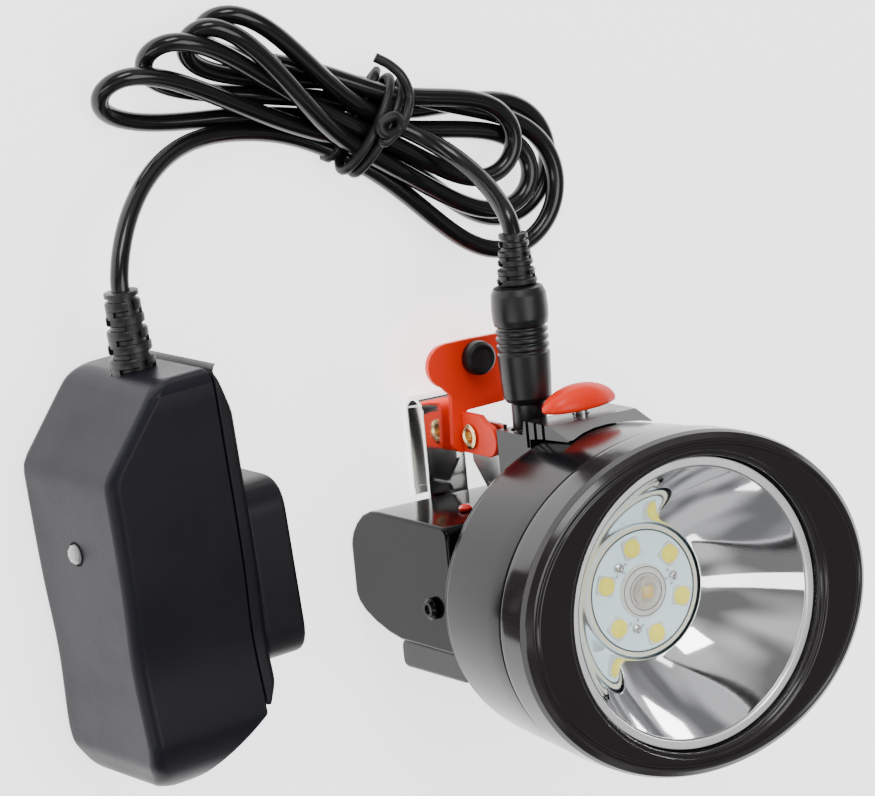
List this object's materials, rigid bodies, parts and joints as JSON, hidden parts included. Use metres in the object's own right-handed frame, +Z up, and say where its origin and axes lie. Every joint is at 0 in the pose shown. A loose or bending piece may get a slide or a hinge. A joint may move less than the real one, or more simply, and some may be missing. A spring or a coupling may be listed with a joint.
{
  "type": "miner's cap lamp",
  "caption": "Cordless miner's cap lamp with chrome reflector, rear battery pod, steel cap clip, hinged socket cover and switch lever, joined to its wall charger by a tied cord",
  "frame": {"origin": "on the table, under the middle of the lamp's bounding box, cord and charger left out", "axes": "+Z up and along the beam, +Y toward the clip and charging socket, +X to the lamp's far side"},
  "size_m": [0.1525, 0.1611, 0.0758],
  "materials": {
    "bezel_ring": "black gloss",
    "front_lens": "clear polycarbonate",
    "lens_seal": "matte",
    "reflector": "mirror",
    "led_board": "white solder mask",
    "main_led": "clear dome over a yellow chip",
    "heat_sink": "turned",
    "driver_board": "green solder mask",
    "lamp_housing": "black gloss",
    "battery_pod": "black gloss",
    "pod_end_cap": "black gloss",
    "pod_cover": "satin black",
    "pod_screw": "black",
    "battery_cell": "sleeved steel can",
    "contact_plate": "nickel plated",
    "contact_spring": "nickel plated",
    "charge_window": "clear red",
    "cap_clip": "polished steel",
    "socket_housing": "satin black",
    "jack_sleeve": "nickel plated",
    "jack_pin": "nickel plated",
    "port_cover": "bright red",
    "cover_stopper": "matte",
    "hinge_eyelet": "polished",
    "hinge_bracket": "plated",
    "switch_lever": "bright red",
    "switch_shaft": "plain",
    "dc_plug": "moulded",
    "plug_barrel": "nickel plated",
    "plug_relief": "moulded",
    "cord_plug_run": "glossy",
    "cord_hank": "glossy",
    "cord_tie": "ribbed",
    "cord_adapter_run": "glossy",
    "adapter_relief": "moulded",
    "adapter_front": "satin black",
    "adapter_back": "satin black",
    "charge_light": "clear",
    "adapter_board": "green solder mask",
    "transformer": "taped core",
    "prong_bar": "black",
    "small_led_1": "yellow phosphor",
    "small_led_2": "yellow phosphor",
    "small_led_3": "yellow phosphor",
    "small_led_4": "yellow phosphor",
    "small_led_5": "yellow phosphor",
    "small_led_6": "yellow phosphor",
    "board_screw_1": "plated",
    "board_screw_2": "plated",
    "board_screw_3": "plated",
    "prong_1": "nickel plated",
    "prong_2": "nickel plated"
  },
  "bodies": {
    "lamp": {"bezel_ring": "bezel_ring", "front_lens": "front_lens", "lens_seal": "lens_seal", "reflector": "reflector", "led_board": "led_board", "main_led": "main_led", "heat_sink": "heat_sink", "driver_board": "driver_board", "lamp_housing": "lamp_housing", "battery_pod": "battery_pod", "pod_end_cap": "pod_end_cap", "pod_cover": "pod_cover", "pod_screw": "pod_screw", "battery_cell": "battery_cell", "contact_plate": "contact_plate", "contact_spring": "contact_spring", "charge_window": "charge_window", "cap_clip": "cap_clip", "socket_housing": "socket_housing", "jack_sleeve": "jack_sleeve", "jack_pin": "jack_pin", "hinge_eyelet": "hinge_eyelet", "hinge_bracket": "hinge_bracket", "small_led_1": "small_led_1", "small_led_2": "small_led_2", "small_led_3": "small_led_3", "small_led_4": "small_led_4", "small_led_5": "small_led_5", "small_led_6": "small_led_6", "board_screw_1": "board_screw_1", "board_screw_2": "board_screw_2", "board_screw_3": "board_screw_3"},
    "flap": {"port_cover": "port_cover", "cover_stopper": "cover_stopper"},
    "lever": {"switch_lever": "switch_lever", "switch_shaft": "switch_shaft"},
    "charger": {"dc_plug": "dc_plug", "plug_barrel": "plug_barrel", "plug_relief": "plug_relief", "cord_plug_run": "cord_plug_run", "cord_hank": "cord_hank", "cord_tie": "cord_tie", "cord_adapter_run": "cord_adapter_run", "adapter_relief": "adapter_relief", "adapter_front": "adapter_front", "adapter_back": "adapter_back", "charge_light": "charge_light", "adapter_board": "adapter_board", "transformer": "transformer"},
    "prongs": {"prong_bar": "prong_bar", "prong_1": "prong_1", "prong_2": "prong_2"}
  },
  "joints": [
    {"name": "port_cover_hinge", "type": "hinge", "parent": "lamp", "child": "flap", "pos_m": [-0.0108, 0.0224, 0.0131], "axis": [1, 0, 0], "range_deg": [-5, 20]},
    {"name": "switch_turn", "type": "hinge", "parent": "lamp", "child": "lever", "pos_m": [0, 0.031, 0.038], "axis": [0, 1, 0], "range_deg": [0, 45]},
    {"name": "plug_pull", "type": "slide", "parent": "lamp", "child": "charger", "axis": [0, 1, 0], "range_m": [0, 0.012]},
    {"name": "prong_fold", "type": "hinge", "parent": "charger", "child": "prongs", "pos_m": [-0.07387, 0.02083, 0.019], "axis": [0, 0, 1], "range_deg": [0, 90]}
  ]
}
